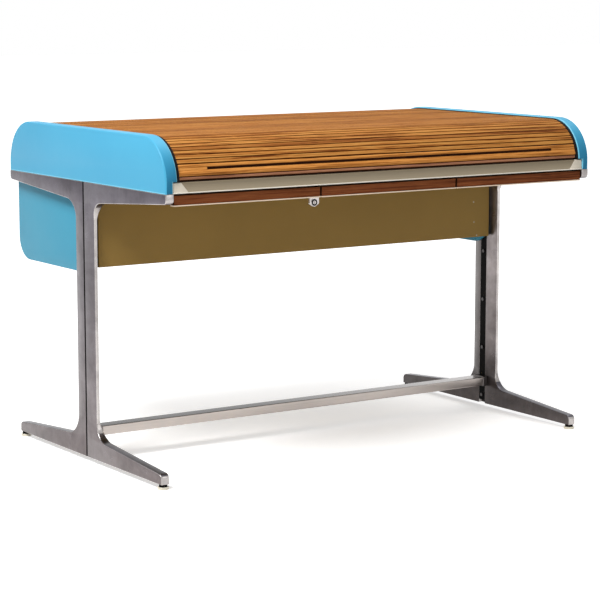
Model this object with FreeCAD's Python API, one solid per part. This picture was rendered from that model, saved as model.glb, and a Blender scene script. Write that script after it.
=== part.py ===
import FreeCAD, Part
import math
import os

# A roll-top desk on two cast legs, in millimetres.
# X runs along the desk, the user sits on the -Y side, Z is up and the floor is Z = 0.

# Overall size
width = 1304.0
depth = 832.0
height = 851.0

# Leg castings: arm, half of the leg and foot in one piece
casting_thickness = 22.0
arm_root_depth = 52.0
arm_tip_depth = 24.0
arm_corner_radius = 10.0
leg_width = 100.0
leg_outer_taper = 4.0
leg_inner_taper = 10.0
taper_run_out = 0.05
arm_fillet = 41.0
foot_fillet = 50.0
foot_bottom = 12.0
foot_root_depth = 52.0
foot_tip_depth = 26.0
foot_corner_radius = 12.0
foot_setback = 34.0
seam_gap = 4.0

# Spine in the seam, and the bolts in it
spine_width = 25.0
spine_thickness = 10.0
spine_recess = 1.0
spine_end_margin = 10.0
spine_side_clearance = 0.5
bolt_across = 9.0
bolt_head = 3.0
bolt_count = 4
bolt_bottom_margin = 24.0
bolt_top_margin = 26.0

# Levelling glides
glide_diameter = 28.0
glide_pad_height = 6.0
glide_nut_across = 20.0
glide_stem_diameter = 8.0
glide_stem_reach = 18.0
glide_from_tip = 11.0
running_clearance = 0.05

# Foot rail and its sockets
foot_rail_height = 24.0
foot_rail_depth = 44.0
foot_rail_wall = 2.5
foot_rail_radius = 3.0
foot_rail_inner_radius = 1.5
foot_rail_bottom = 67.0
socket_length = 14.0
socket_lip = 2.0
socket_chamfer = 1.8

# Upper end panels
panel_radius = 112.0
panel_straight = 22.0
panel_thickness = 20.0
panel_lip_thickness = 12.0
panel_edge_radius = 4.0
notch_clearance = 2.0

# Tambour
tambour_inset = 4.0
slat_thickness = 8.0
slat_gap = 2.0
slat_bottom_gap = 3.6
slat_chamfer = 1.2
canvas_thickness = 1.5
slats_per_bend = 14
rear_room = 12.0
lead_rail_slats = 4
lead_rail_thickness = 10.0
front_strip_slats = 2
rear_strip_slats = 3
lead_gap = 1.5
groove_bottom = 30.0
groove_height = 9.0
groove_depth = 5.5
groove_end_margin = 80.0

# Tambour track
track_width = 7.6
track_depth = 17.0
track_side_clearance = 0.4
track_proud = 1.5
track_front = 60.0
ledge_width = 13.0
ledge_clearance = 0.3
ledge_end_margin = 6.0

# Work surface and its front edge
surface_thickness = 18.0
edge_rail_height = 26.0
edge_rail_depth = 18.0
edge_rail_lip = 2.0
edge_rail_lip_height = 2.5
edge_rail_radius = 2.0
cap_top_width = 24.0
cap_bottom_width = 45.0
side_clearance = 0.3

# Rails that carry the work surface and the drawers
rail_wall = 3.0
rail_flange = 26.0
runner_flange = 15.0
runner_flange_thickness = 2.0
runner_drop = 20.0
rail_front_setback = 4.0
runner_rear_gap = 32.0

# Drawers
drawer_count = 3
drawer_gap = 4.0
drawer_end_gap = 1.5
drawer_height = 26.0
drawer_top_gap = 4.0
drawer_front_thickness = 16.0
drawer_front_setback = 4.0
drawer_front_radius = 1.5
tray_wall = 2.5
tray_lip_setback = 1.0
tray_rear_margin = 6.0
tray_top_gap = 2.0
slide_clearance = 0.3
slide_side_clearance = 2.0
tray_side_clearance = 1.0
tray_flange_thickness = 2.0

# Lock under the left drawer
lock_width = 27.0
lock_height = 24.0
lock_depth = 7.0
lock_radius = 9.0
lock_side_radius = 4.5
lock_setback = 2.0
lock_from_gap = 18.0
plug_diameter = 9.0
plug_proud = 0.5
plug_length = 6.0
keyway_width = 2.0
keyway_height = 6.0
keyway_depth = 2.5
lock_recess_diameter = 17.0
lock_recess_depth = 3.0

# Bin under the rear half of the desk
bin_panel_thickness = 10.0
bin_height = 237.0
bin_panel_radius = 60.0
bin_rear_setback = 2.0
bin_front = -28.0
front_panel_thickness = 4.0
front_panel_rise = 20.0
front_panel_end_gap = 5.0
cover_wall = 2.0
cover_setback = 4.0
cover_bottom_gap = 2.0
cover_front_rise = 20.0
cover_slope = 124.0
cover_top_gap = 5.0
cover_radius = 56.0
trough_wall = 2.0
trough_rise = 30.0
trough_radius = 20.0
trough_rear_gap = 24.0
trough_top_gap = 5.0
surface_to_bin = 6.0

# Points closer than this count as one
coincident = 1e-6

# Derived places that several pieces share
half_width = width / 2
half_depth = depth / 2
casting_inner = half_width - casting_thickness
foot_reach = half_depth - foot_setback
glide_x = half_width - casting_thickness / 2
bend_height = height - panel_radius
arm_top = bend_height - panel_straight
surface_top = arm_top + edge_rail_height
surface_bottom = surface_top - surface_thickness
surface_half = half_width - panel_thickness - side_clearance
edge_rail_rear = -half_depth + edge_rail_depth
tambour_radius = panel_radius - tambour_inset
travel = tambour_radius * math.pi / 2
slat_pitch = travel / slats_per_bend
slats_on_top = int((depth - 2 * panel_radius - rear_room) / slat_pitch)
front_bend = -half_depth + panel_radius
rear_bend = front_bend + slats_on_top * slat_pitch
panel_inner = half_width - panel_thickness - panel_lip_thickness
slat_half_length = panel_inner - track_width - track_side_clearance
bin_panel_bottom = arm_top - bin_height
bin_inner = casting_inner - bin_panel_thickness
bin_panel_front = bin_front + front_panel_thickness
trough_floor = bin_panel_bottom + trough_rise
surface_rear = bin_panel_front + surface_to_bin
runner_rear = bin_front - runner_rear_gap
runner_low = arm_top - runner_drop
runner_top = runner_low + runner_flange_thickness
drawer_top = arm_top - drawer_top_gap
drawer_bottom = drawer_top - drawer_height


def vector(x, y, z):
    return FreeCAD.Vector(x, y, z)


def rounded_loop(corners):
    """Closed wire through (point, radius) corners, each corner rounded by its radius."""
    rounds = []
    for index, (corner, radius) in enumerate(corners):
        to_before = (corners[index - 1][0] - corner).normalize()
        to_after = (corners[(index + 1) % len(corners)][0] - corner).normalize()
        if radius == 0:
            rounds.append((corner, None, corner))
            continue
        half_angle = to_before.getAngle(to_after) / 2
        run = radius / math.tan(half_angle)
        start = corner + to_before * run
        end = corner + to_after * run
        inward = (to_before + to_after).normalize()
        middle = corner + inward * (radius / math.sin(half_angle) - radius)
        rounds.append((start, Part.Arc(start, middle, end).toShape(), end))
    edges = []
    for index, (start, arc, end) in enumerate(rounds):
        if arc is not None:
            edges.append(arc)
        next_start = rounds[(index + 1) % len(rounds)][0]
        if end.distanceToPoint(next_start) > coincident:
            edges.append(Part.makeLine(end, next_start))
    return Part.Wire(edges)


def side_solid(corners, x_from, x_to):
    """Solid whose outline in the side view is given as (y, z, radius)."""
    loop = rounded_loop([(vector(x_from, y, z), radius) for y, z, radius in corners])
    return Part.Face(loop).extrude(vector(x_to - x_from, 0, 0))


def front_solid(corners, y_from, y_to):
    """Solid whose outline in the front view is given as (x, z, radius)."""
    loop = rounded_loop([(vector(x, y_from, z), radius) for x, z, radius in corners])
    return Part.Face(loop).extrude(vector(0, y_to - y_from, 0))


def block(x_from, x_to, y_from, y_to, z_from, z_to):
    size = (x_to - x_from, y_to - y_from, z_to - z_from)
    return Part.makeBox(*size, vector(x_from, y_from, z_from))


def upright(diameter, x, y, z_from, z_to):
    return Part.makeCylinder(diameter / 2, z_to - z_from, vector(x, y, z_from), vector(0, 0, 1))


def along_y(diameter, x, z, y_from, y_to):
    return Part.makeCylinder(diameter / 2, y_to - y_from, vector(x, y_from, z), vector(0, 1, 0))


def hexagon(across):
    """Offsets of a hexagon's corners from its centre."""
    reach = across / math.sqrt(3)
    angles = [math.radians(60 * index) for index in range(6)]
    return [(reach * math.cos(angle), reach * math.sin(angle)) for angle in angles]


def fuse(shapes):
    return shapes[0].multiFuse(shapes[1:]).removeSplitter()


def mirrored(shape):
    return shape.mirror(vector(0, 0, 0), vector(1, 0, 0))


def save(name, shape):
    shape.exportStep("parts/" + name + ".step")


def save_pair(name, left_shape):
    save(name + "_left", left_shape)
    save(name + "_right", mirrored(left_shape))


# Legs


def glide_y(facing):
    return facing * (foot_reach - glide_from_tip)


def casting_outline(facing):
    """Arm, leg half and foot, from the seam outwards; facing is -1 for the front half."""
    seam = facing * seam_gap / 2
    leg_edge = facing * leg_width / 2
    arm_tip = facing * half_depth
    foot_tip = facing * foot_reach
    return [
        (seam, arm_top, 0),
        (arm_tip, arm_top, 0),
        (arm_tip, arm_top - arm_tip_depth, arm_corner_radius),
        (leg_edge, arm_top - arm_root_depth, arm_fillet),
        (leg_edge, foot_bottom + foot_root_depth, foot_fillet),
        (foot_tip, foot_bottom + foot_tip_depth, foot_corner_radius),
        (foot_tip, foot_bottom, 0),
        (seam, foot_bottom, 0),
    ]


def leg_taper(facing, face, inward, start, depth):
    """Wedge that thins the leg from start to its edge, running out in the fillets of the arm and the foot."""
    foot_corner = foot_bottom + foot_root_depth
    arm_corner = arm_top - arm_root_depth
    levels = [
        (foot_corner, taper_run_out),
        (foot_corner + foot_fillet, depth),
        (arm_corner - arm_fillet, depth),
        (arm_corner, taper_run_out),
    ]
    edge = leg_width / 2
    far = edge + foot_fillet
    sections = []
    for level, cut in levels:
        floor = face + inward * cut
        corners = [(face, start), (face, far), (floor, far), (floor, edge)]
        points = [vector(x, facing * y, level) for x, y in corners]
        sections.append(Part.makePolygon(points + points[:1]))
    return Part.makeLoft(sections, True, True)


def leg_casting(facing):
    """Left casting, front or rear half."""
    body = side_solid(casting_outline(facing), -half_width, -casting_inner)
    rebate_half = spine_width / 2 + spine_side_clearance
    body = body.cut(leg_taper(facing, -half_width, 1, seam_gap / 2, leg_outer_taper))
    body = body.cut(leg_taper(facing, -casting_inner, -1, rebate_half, leg_inner_taper))
    rebate_depth = spine_recess + spine_thickness
    y_range = sorted((0.0, facing * rebate_half))
    rebate = block(-casting_inner - rebate_depth, -casting_inner, *y_range, foot_bottom, arm_top)
    hole_top = foot_bottom + glide_stem_reach + running_clearance
    hole_diameter = glide_stem_diameter + 2 * running_clearance
    hole = upright(hole_diameter, -glide_x, glide_y(facing), foot_bottom, hole_top)
    return body.cut(rebate).cut(hole)


def leg_spine():
    inner = -casting_inner - spine_recess
    outer = inner - spine_thickness
    half = spine_width / 2
    return block(outer, inner, -half, half, foot_bottom + spine_end_margin, arm_top - spine_end_margin)


def leg_bolts():
    """Hexagonal bolt heads in both slots, seated on the spines below the bin."""
    first = foot_bottom + bolt_bottom_margin
    spacing = (bin_panel_bottom - bolt_top_margin - first) / (bolt_count - 1)
    seat = -casting_inner - spine_recess
    heads = []
    for index in range(bolt_count):
        centre = first + index * spacing
        corners = [(y, centre + z, 0) for y, z in hexagon(bolt_across)]
        heads.append(side_solid(corners, seat, seat + bolt_head))
    return Part.makeCompound(heads + [mirrored(head) for head in heads])


def glide_pad(facing):
    return upright(glide_diameter, -glide_x, glide_y(facing), 0, glide_pad_height)


def glide_stem(facing):
    """Hexagonal nut on the pad with a stem that screws up into the foot."""
    centre = vector(-glide_x, glide_y(facing), glide_pad_height)
    corners = [(centre + vector(x, y, 0), 0) for x, y in hexagon(glide_nut_across)]
    nut_height = foot_bottom - glide_pad_height - slide_clearance
    nut = Part.Face(rounded_loop(corners)).extrude(vector(0, 0, nut_height))
    stem_top = foot_bottom + glide_stem_reach
    stem = upright(glide_stem_diameter, centre.x, centre.y, glide_pad_height, stem_top)
    return fuse([nut, stem])


def rail_bar(grow, radius, x_from, x_to):
    """Solid bar along X: the foot rail's outline grown on every side."""
    half = foot_rail_depth / 2 + grow
    low = foot_rail_bottom - grow
    high = foot_rail_bottom + foot_rail_height + grow
    corners = [(-half, low, radius), (half, low, radius), (half, high, radius), (-half, high, radius)]
    return side_solid(corners, x_from, x_to)


def foot_rail():
    """Rectangular tube between the two sockets."""
    end = casting_inner - socket_length
    outer = rail_bar(0, foot_rail_radius, -end, end)
    inner = rail_bar(-foot_rail_wall, foot_rail_inner_radius, -end, end)
    return outer.cut(inner)


def foot_rail_socket():
    """Collar on the left leg that the rail butts against, drawn in towards the rail."""
    rail_end = -casting_inner + socket_length
    collar = rail_bar(socket_lip, foot_rail_radius, -casting_inner, rail_end)
    rim = [e for e in collar.Edges if all(abs(v.X - rail_end) < coincident for v in e.Vertexes)]
    return collar.makeChamfer(socket_chamfer, rim)


# End panels


def end_panel():
    """Left panel: a plate with a thicker inner part, notched where the work surface runs in."""
    corners = [
        (-half_depth, arm_top, 0),
        (half_depth, arm_top, 0),
        (half_depth, height, panel_radius),
        (-half_depth, height, panel_radius),
    ]
    body = side_solid(corners, -half_width, -panel_inner)
    notch_inner = -half_width + panel_thickness
    notch_top = surface_top + notch_clearance
    notch = block(notch_inner, -panel_inner, -half_depth, surface_rear + notch_clearance, arm_top, notch_top)
    body = body.cut(notch)
    outer_edges = []
    for edge in body.Edges:
        on_outer_face = all(abs(v.X + half_width) < coincident for v in edge.Vertexes)
        on_arm = all(abs(v.Z - arm_top) < coincident for v in edge.Vertexes)
        if on_outer_face and not on_arm:
            outer_edges.append(edge)
    return body.makeFillet(panel_edge_radius, outer_edges)


# Tambour


def path_point(run):
    """Point (y, z) on the outer face of the closed tambour and its heading, at a run from the front."""
    top_length = rear_bend - front_bend
    if run < travel:
        angle = run / tambour_radius
        y = front_bend - tambour_radius * math.cos(angle)
        return y, bend_height + tambour_radius * math.sin(angle), math.pi / 2 - angle
    if run < travel + top_length:
        return front_bend + run - travel, bend_height + tambour_radius, 0.0
    angle = (run - travel - top_length) / tambour_radius
    y = rear_bend + tambour_radius * math.sin(angle)
    return y, bend_height + tambour_radius * math.cos(angle), -angle


def slat_points(index):
    """Corners of one slat, from its lower front edge over the outer face to its lower rear edge."""
    y, z, heading = path_point((index + 0.5) * slat_pitch)
    half = (slat_pitch - slat_gap) / 2
    half_bottom = (slat_pitch - slat_bottom_gap) / 2
    web = slat_thickness - canvas_thickness
    taper = (half - half_bottom) * web / slat_thickness
    local = [
        (-half_bottom, -slat_thickness),
        (-half + taper, -web),
        (-half, -slat_chamfer),
        (-half + slat_chamfer, 0.0),
        (half - slat_chamfer, 0.0),
        (half, -slat_chamfer),
        (half - taper, -web),
        (half_bottom, -slat_thickness),
    ]
    points = []
    for along, out in local:
        turned_y = y + along * math.cos(heading) - out * math.sin(heading)
        turned_z = z + along * math.sin(heading) + out * math.cos(heading)
        points.append((turned_y, turned_z, 0))
    return points


def slat_strip(first, count):
    """Slats joined by the canvas behind them, as one flexible strip of the tambour."""
    upper = []
    lower = []
    for index in range(first, first + count):
        points = slat_points(index)
        if index == first:
            upper.append(points[0])
        else:
            lower.append(points[0])
        upper += points[1:-1]
        lower.append(points[-1])
    upper.append(lower.pop())
    return side_solid(upper + lower[::-1], -slat_half_length, slat_half_length)


def bend_point(radius, run):
    """Point in the middle plane at a radius of the front bend, at a run along the tambour's face."""
    angle = run / tambour_radius
    return vector(0, front_bend - radius * math.cos(angle), bend_height + radius * math.sin(angle))


def bend_sector(inner, outer, run_from, run_to, half_length):
    middle = (run_from + run_to) / 2
    a, b, c = (bend_point(outer, run) for run in (run_from, middle, run_to))
    d, e, f = (bend_point(inner, run) for run in (run_to, middle, run_from))
    outer_arc = Part.Arc(a, b, c).toShape()
    inner_arc = Part.Arc(d, e, f).toShape()
    face = Part.Face(Part.Wire([outer_arc, Part.makeLine(c, d), inner_arc, Part.makeLine(f, a)]))
    face.translate(vector(-half_length, 0, 0))
    return face.extrude(vector(2 * half_length, 0, 0))


def lead_rail_start():
    return tambour_radius * math.asin((surface_top + lead_gap - bend_height) / tambour_radius)


def tambour_lead_rail():
    """Curved bar at the front of the tambour with a long finger groove."""
    inner = tambour_radius - lead_rail_thickness
    end = lead_rail_slats * slat_pitch - slat_gap / 2
    bar = bend_sector(inner, tambour_radius, lead_rail_start(), end, slat_half_length)
    groove_floor = tambour_radius - groove_depth
    groove_half = slat_half_length - groove_end_margin
    past_face = tambour_radius + groove_depth
    groove = bend_sector(groove_floor, past_face, groove_bottom, groove_bottom + groove_height, groove_half)
    return bar.cut(groove)


def strip_layout():
    """Names and slats (first, count) of the strips behind the lead rail."""
    layout = []
    on_top = slats_per_bend + slats_on_top
    groups = [
        ("front", lead_rail_slats, slats_per_bend, front_strip_slats),
        ("rear", slats_on_top, on_top, rear_strip_slats),
        ("back", on_top, on_top + slats_per_bend, rear_strip_slats),
    ]
    for label, first, last, size in groups:
        for number, start in enumerate(range(first, last, size), 1):
            layout.append((f"tambour_strip_{label}_{number}", start, min(size, last - start)))
    layout.append(("tambour_strip_top", slats_per_bend, slats_on_top - slats_per_bend))
    return layout


def tambour_track():
    """Left track: a band beside the slat ends that goes on down the back and forward under the bin,
    with a ledge under the strip that stays on the top."""
    outer = tambour_radius + track_proud
    inner = outer - track_depth
    rear = rear_bend + outer
    turn = rear - cover_turn_y()
    low = cover_turn_z() - turn
    corners = [
        (front_bend - outer, arm_top, 0),
        (front_bend - outer, bend_height + outer, outer),
        (rear, bend_height + outer, outer),
        (rear, low, turn),
        (track_front, low, 0),
        (track_front, low + track_depth, 0),
        (rear - track_depth, low + track_depth, turn - track_depth),
        (rear - track_depth, bend_height + inner, inner),
        (front_bend - inner, bend_height + inner, inner),
        (front_bend - inner, arm_top, 0),
    ]
    face_x = -panel_inner + track_width
    band = side_solid(corners, -panel_inner, face_x)
    below_notch = block(-panel_inner, face_x, -half_depth, 0, arm_top, surface_top + notch_clearance)
    ledge_top = bend_height + tambour_radius - slat_thickness - ledge_clearance
    ledge_front = front_bend + travel + ledge_end_margin
    ledge_rear = rear_bend - travel - ledge_end_margin
    ledge = block(face_x, face_x + ledge_width, ledge_front, ledge_rear, bend_height + inner, ledge_top)
    return fuse([band.cut(below_notch), ledge])


# Work surface and drawers


def work_surface():
    return block(-surface_half, surface_half, edge_rail_rear, surface_rear, surface_bottom, surface_top)


def edge_rail_bar():
    front = -half_depth
    face = front + edge_rail_lip
    lip_top = arm_top + edge_rail_lip_height
    corners = [
        (edge_rail_rear, arm_top, 0),
        (front, arm_top, 0),
        (front, lip_top, 0),
        (face, lip_top, 0),
        (face + edge_rail_lip, surface_top, edge_rail_radius),
        (edge_rail_rear, surface_top, 0),
    ]
    return side_solid(corners, -surface_half, surface_half)


def cap_cutter():
    """Prism in front view that splits the left end cap from the edge rail along a mitre."""
    slope = (cap_bottom_width - cap_top_width) / edge_rail_height
    spare = edge_rail_height
    top_x = -surface_half + cap_top_width - slope * spare
    bottom_x = -surface_half + cap_bottom_width + slope * spare
    far = -surface_half - spare
    low = arm_top - spare
    high = surface_top + spare
    corners = [(far, low, 0), (bottom_x, low, 0), (top_x, high, 0), (far, high, 0)]
    return front_solid(corners, -half_depth - spare, edge_rail_rear + spare)


def side_rail():
    """Left rail on the arm: its upper flange carries the work surface, its lower one the drawer."""
    front = edge_rail_rear + rail_front_setback
    inner = -casting_inner + rail_wall
    web = block(-casting_inner, inner, front, runner_rear, runner_low, surface_bottom)
    flange_low = surface_bottom - rail_wall
    top = block(inner, -casting_inner + rail_flange, front, runner_rear, flange_low, surface_bottom)
    ledge = block(inner, inner + runner_flange, front, runner_rear, runner_low, runner_top)
    return fuse([web, top, ledge])


def middle_runner(centre):
    """Hanger under the work surface between two drawers."""
    front = edge_rail_rear + rail_front_setback
    half_web = rail_wall / 2
    half_flange = half_web + runner_flange
    left = centre - half_flange
    right = centre + half_flange
    web = block(centre - half_web, centre + half_web, front, runner_rear, runner_low, surface_bottom)
    top = block(left, right, front, runner_rear, surface_bottom - rail_wall, surface_bottom)
    ledge = block(left, right, front, runner_rear, runner_low, runner_top)
    return fuse([web, top, ledge])


def drawer_pitch():
    return 2 * casting_inner / drawer_count


def divider(index):
    """X of the line between drawers index and index + 1, counted from the left."""
    return -casting_inner + (index + 1) * drawer_pitch()


def drawer_front_span(index):
    left = -casting_inner + drawer_end_gap if index == 0 else divider(index - 1) + drawer_gap / 2
    is_last = index == drawer_count - 1
    right = casting_inner - drawer_end_gap if is_last else divider(index) - drawer_gap / 2
    return left, right


def runner_webs(index):
    """Faces of the two runner webs that a drawer runs between."""
    left = -casting_inner + rail_wall if index == 0 else divider(index - 1) + rail_wall / 2
    is_last = index == drawer_count - 1
    right = casting_inner - rail_wall if is_last else divider(index) - rail_wall / 2
    return left, right


def drawer_front(index):
    left, right = drawer_front_span(index)
    face = -half_depth + drawer_front_setback
    low = drawer_bottom + tray_wall
    board = block(left, right, face, face + drawer_front_thickness, low, drawer_top)
    upper_edge = [
        e for e in board.Edges
        if all(abs(v.Y - face) < coincident and abs(v.Z - drawer_top) < coincident for v in e.Vertexes)
    ]
    return board.makeFillet(drawer_front_radius, upper_edge)


def drawer_tray(index):
    """Moulded tray: its floor runs forward as a lip, and its side flanges hang on the runners."""
    web_left, web_right = runner_webs(index)
    left = web_left + runner_flange + tray_side_clearance
    right = web_right - runner_flange - tray_side_clearance
    front_left, front_right = drawer_front_span(index)
    face = -half_depth + drawer_front_setback
    front = face + drawer_front_thickness
    rear = runner_rear - tray_rear_margin
    top = drawer_top - tray_top_gap
    floor_top = drawer_bottom + tray_wall
    body = block(left, right, front, rear, drawer_bottom, top)
    hollow = block(left + tray_wall, right - tray_wall, front + tray_wall, rear - tray_wall, floor_top, top)
    lip = block(front_left, front_right, face - tray_lip_setback, front, drawer_bottom, floor_top)
    flange_low = runner_top + slide_clearance
    flange_high = flange_low + tray_flange_thickness
    flange_left = block(web_left + slide_side_clearance, left, front, rear, flange_low, flange_high)
    flange_right = block(right, web_right - slide_side_clearance, front, rear, flange_low, flange_high)
    return fuse([body.cut(hollow), lip, flange_left, flange_right])


def lock_centre():
    x = divider(0) - lock_from_gap
    return x, drawer_bottom - lock_height / 2


def lock_front():
    return -half_depth + drawer_front_setback + lock_setback


def lock_housing():
    """Shield under the left drawer, with a round recess about the plug and a bore for it."""
    x, z = lock_centre()
    half = lock_width / 2
    low = drawer_bottom - lock_height
    corners = [
        (x - half, drawer_bottom, 0),
        (x - half, low + lock_radius, lock_side_radius),
        (x, low, lock_radius),
        (x + half, low + lock_radius, lock_side_radius),
        (x + half, drawer_bottom, 0),
    ]
    front = lock_front()
    body = front_solid(corners, front, front + lock_depth)
    bore_length = plug_length - plug_proud + running_clearance
    bore = along_y(plug_diameter + 2 * running_clearance, x, z, front, front + bore_length)
    recess = along_y(lock_recess_diameter, x, z, front, front + lock_recess_depth)
    return body.cut(bore).cut(recess)


def lock_plug():
    x, z = lock_centre()
    front = lock_front() - plug_proud
    plug = along_y(plug_diameter, x, z, front, front + plug_length)
    half_way = keyway_width / 2
    half_height = keyway_height / 2
    keyway = block(x - half_way, x + half_way, front, front + keyway_depth, z - half_height, z + half_height)
    return plug.cut(keyway)


# Bin


def bin_end_panel():
    rear = half_depth - bin_rear_setback
    corners = [
        (bin_panel_front, bin_panel_bottom, bin_panel_radius),
        (rear, bin_panel_bottom, bin_panel_radius),
        (rear, arm_top, 0),
        (bin_panel_front, arm_top, 0),
    ]
    return side_solid(corners, -casting_inner, -bin_inner)


def bin_front_panel():
    half = casting_inner - front_panel_end_gap
    low = bin_panel_bottom + front_panel_rise
    return block(-half, half, bin_front, bin_panel_front, low, surface_bottom)


def bent_sheet(corners, wall, half_length):
    """Open sheet of even thickness, from the (y, z, radius) corners of its outer side, wall to the left."""
    inner = offset_corners(corners, wall)
    return side_solid(corners + inner[::-1], -half_length, half_length)


def offset_corners(corners, wall):
    """The same open line moved to its left by the wall, with the rounds made smaller to match."""
    moved = []
    for index, (y, z, radius) in enumerate(corners):
        normals = []
        for start, end in ((index - 1, index), (index, index + 1)):
            if 0 <= start and end < len(corners):
                step_y = corners[end][0] - corners[start][0]
                step_z = corners[end][1] - corners[start][1]
                length = math.hypot(step_y, step_z)
                normals.append((-step_z / length, step_y / length))
        sum_y = sum(n[0] for n in normals)
        sum_z = sum(n[1] for n in normals)
        scale = wall * len(normals) / (sum_y ** 2 + sum_z ** 2)
        moved.append((y + sum_y * scale, z + sum_z * scale, max(radius - wall, 0)))
    return moved


def bin_trough():
    """Folded liner of the bin, open at the top."""
    rear = rear_bend + tambour_radius - slat_thickness - trough_rear_gap
    corners = [
        (bin_panel_front, surface_bottom, 0),
        (bin_panel_front, trough_floor, trough_radius),
        (rear, trough_floor, trough_radius),
        (rear, arm_top - trough_top_gap, 0),
    ]
    return bent_sheet(corners, trough_wall, bin_inner)


def cover_rear():
    return half_depth - bin_rear_setback - cover_setback


def cover_low():
    return bin_panel_bottom + cover_bottom_gap


def cover_turn_y():
    """Y of the axis that the cover's lower rear corner turns about."""
    return cover_rear() - cover_radius


def cover_turn_z():
    return cover_low() + cover_radius


def back_cover():
    """Folded sheet that closes the bin behind and below; the opened tambour runs down inside it."""
    corners = [
        (bin_panel_front, trough_floor, 0),
        (bin_panel_front, cover_low() + cover_front_rise, 0),
        (bin_panel_front + cover_slope, cover_low(), 0),
        (cover_rear(), cover_low(), cover_radius),
        (cover_rear(), arm_top - cover_top_gap, 0),
    ]
    return bent_sheet(corners, cover_wall, bin_inner)


def build_legs():
    sides = {"left": lambda shape: shape, "right": mirrored}
    for facing, label in ((-1, "front"), (1, "rear")):
        for side, placed in sides.items():
            save(f"leg_casting_{label}_{side}", placed(leg_casting(facing)))
            save(f"glide_pad_{label}_{side}", placed(glide_pad(facing)))
            save(f"glide_stem_{label}_{side}", placed(glide_stem(facing)))
    save_pair("leg_spine", leg_spine())
    save("leg_bolts", leg_bolts())
    save("foot_rail", foot_rail())
    save_pair("foot_rail_socket", foot_rail_socket())


def build_top():
    save_pair("end_panel", end_panel())
    save_pair("tambour_track", tambour_track())
    save("tambour_lead_rail", tambour_lead_rail())
    for name, first, count in strip_layout():
        save(name, slat_strip(first, count))


def build_surface():
    save("work_surface", work_surface())
    bar = edge_rail_bar()
    cutter = cap_cutter()
    save("front_edge_rail", bar.cut(cutter).cut(mirrored(cutter)))
    save_pair("edge_rail_cap", bar.common(cutter))
    save_pair("side_rail", side_rail())
    for index in range(drawer_count - 1):
        save(f"drawer_runner_{index + 1}", middle_runner(divider(index)))


def build_drawers():
    for index in range(drawer_count):
        save(f"drawer_front_{index + 1}", drawer_front(index))
        save(f"drawer_tray_{index + 1}", drawer_tray(index))
    save("lock_housing", lock_housing())
    save("lock_plug", lock_plug())


def build_bin():
    save_pair("bin_end_panel", bin_end_panel())
    save("bin_front_panel", bin_front_panel())
    save("bin_trough", bin_trough())
    save("back_cover", back_cover())


os.makedirs("parts", exist_ok=True)
build_legs()
build_top()
build_surface()
build_drawers()
build_bin()
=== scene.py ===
import math

import bmesh
import bpy
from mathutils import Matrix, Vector


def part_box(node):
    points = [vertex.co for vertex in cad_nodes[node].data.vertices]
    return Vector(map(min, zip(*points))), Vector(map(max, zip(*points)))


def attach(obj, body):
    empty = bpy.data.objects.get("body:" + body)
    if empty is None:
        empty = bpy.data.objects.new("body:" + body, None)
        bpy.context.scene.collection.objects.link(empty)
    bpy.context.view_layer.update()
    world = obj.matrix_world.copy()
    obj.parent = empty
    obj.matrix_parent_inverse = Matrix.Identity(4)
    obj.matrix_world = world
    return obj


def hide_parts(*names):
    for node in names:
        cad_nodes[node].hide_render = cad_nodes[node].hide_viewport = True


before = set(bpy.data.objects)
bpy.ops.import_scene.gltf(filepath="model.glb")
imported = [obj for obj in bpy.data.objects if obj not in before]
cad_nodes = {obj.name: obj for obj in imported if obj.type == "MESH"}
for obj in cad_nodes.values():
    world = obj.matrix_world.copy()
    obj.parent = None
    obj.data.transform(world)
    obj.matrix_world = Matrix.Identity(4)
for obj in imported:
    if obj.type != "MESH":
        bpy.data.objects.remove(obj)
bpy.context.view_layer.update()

# Tambour sizes, as in the part's source, in metres
BEND_RADIUS = 0.108
SLATS_PER_BEND = 14
SLATS_ON_TOP = 49
SLATS_OF_LEAD_RAIL = 4
SLATS_PER_FRONT_STRIP = 2
SLATS_PER_REAR_STRIP = 3
SLAT_PITCH = BEND_RADIUS * math.pi / 2 / SLATS_PER_BEND
SLAT_GAP = 0.002
SLAT_THICKNESS = 0.008
SLAT_HALF_LENGTH = 0.612
FRONT_BEND_Y = -0.304
BEND_HEIGHT = 0.739
TOP_LENGTH = SLATS_ON_TOP * SLAT_PITCH

# Details of the slats and of the cloth behind them, in metres
CROWN_RADIUS = 0.0034
LOWER_RADIUS = 0.0004
ROUNDING_STEPS = 4
TONE_SEED = 11
CLOTH_INSET = 0.004
CLOTH_IN_SLATS = 0.0011
CLOTH_OFF_BACK = 0.0001
CLOTH_STEPS_PER_SLAT = 2

WHITE = (1.0, 1.0, 1.0, 1.0)


# Node helpers


def add(tree, kind, settings=None, **sockets):
    """New node with its settings and its inputs, each a value or an output of another node."""
    node = tree.nodes.new(kind)
    for key, value in (settings or {}).items():
        setattr(node, key, value)
    for key, value in sockets.items():
        connect(tree, node.inputs[key.replace("_", " ")], value)
    return node


def connect(tree, socket, value):
    if isinstance(value, bpy.types.NodeSocket):
        tree.links.new(value, socket)
    else:
        socket.default_value = value


def calc(tree, operation, *values):
    """Output of one Math node."""
    node = add(tree, "ShaderNodeMath", {"operation": operation})
    for index, value in enumerate(values):
        connect(tree, node.inputs[index], value)
    return node.outputs[0]


def joined(tree, x, y, z):
    """Vector with these three parts."""
    return add(tree, "ShaderNodeCombineXYZ", X=x, Y=y, Z=z).outputs[0]


def part_of(tree, vector, axis):
    """One of a vector's three parts."""
    return add(tree, "ShaderNodeSeparateXYZ", Vector=vector).outputs[axis]


def attribute(tree, name):
    return add(tree, "ShaderNodeAttribute", {"attribute_name": name}).outputs["Fac"]


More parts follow.
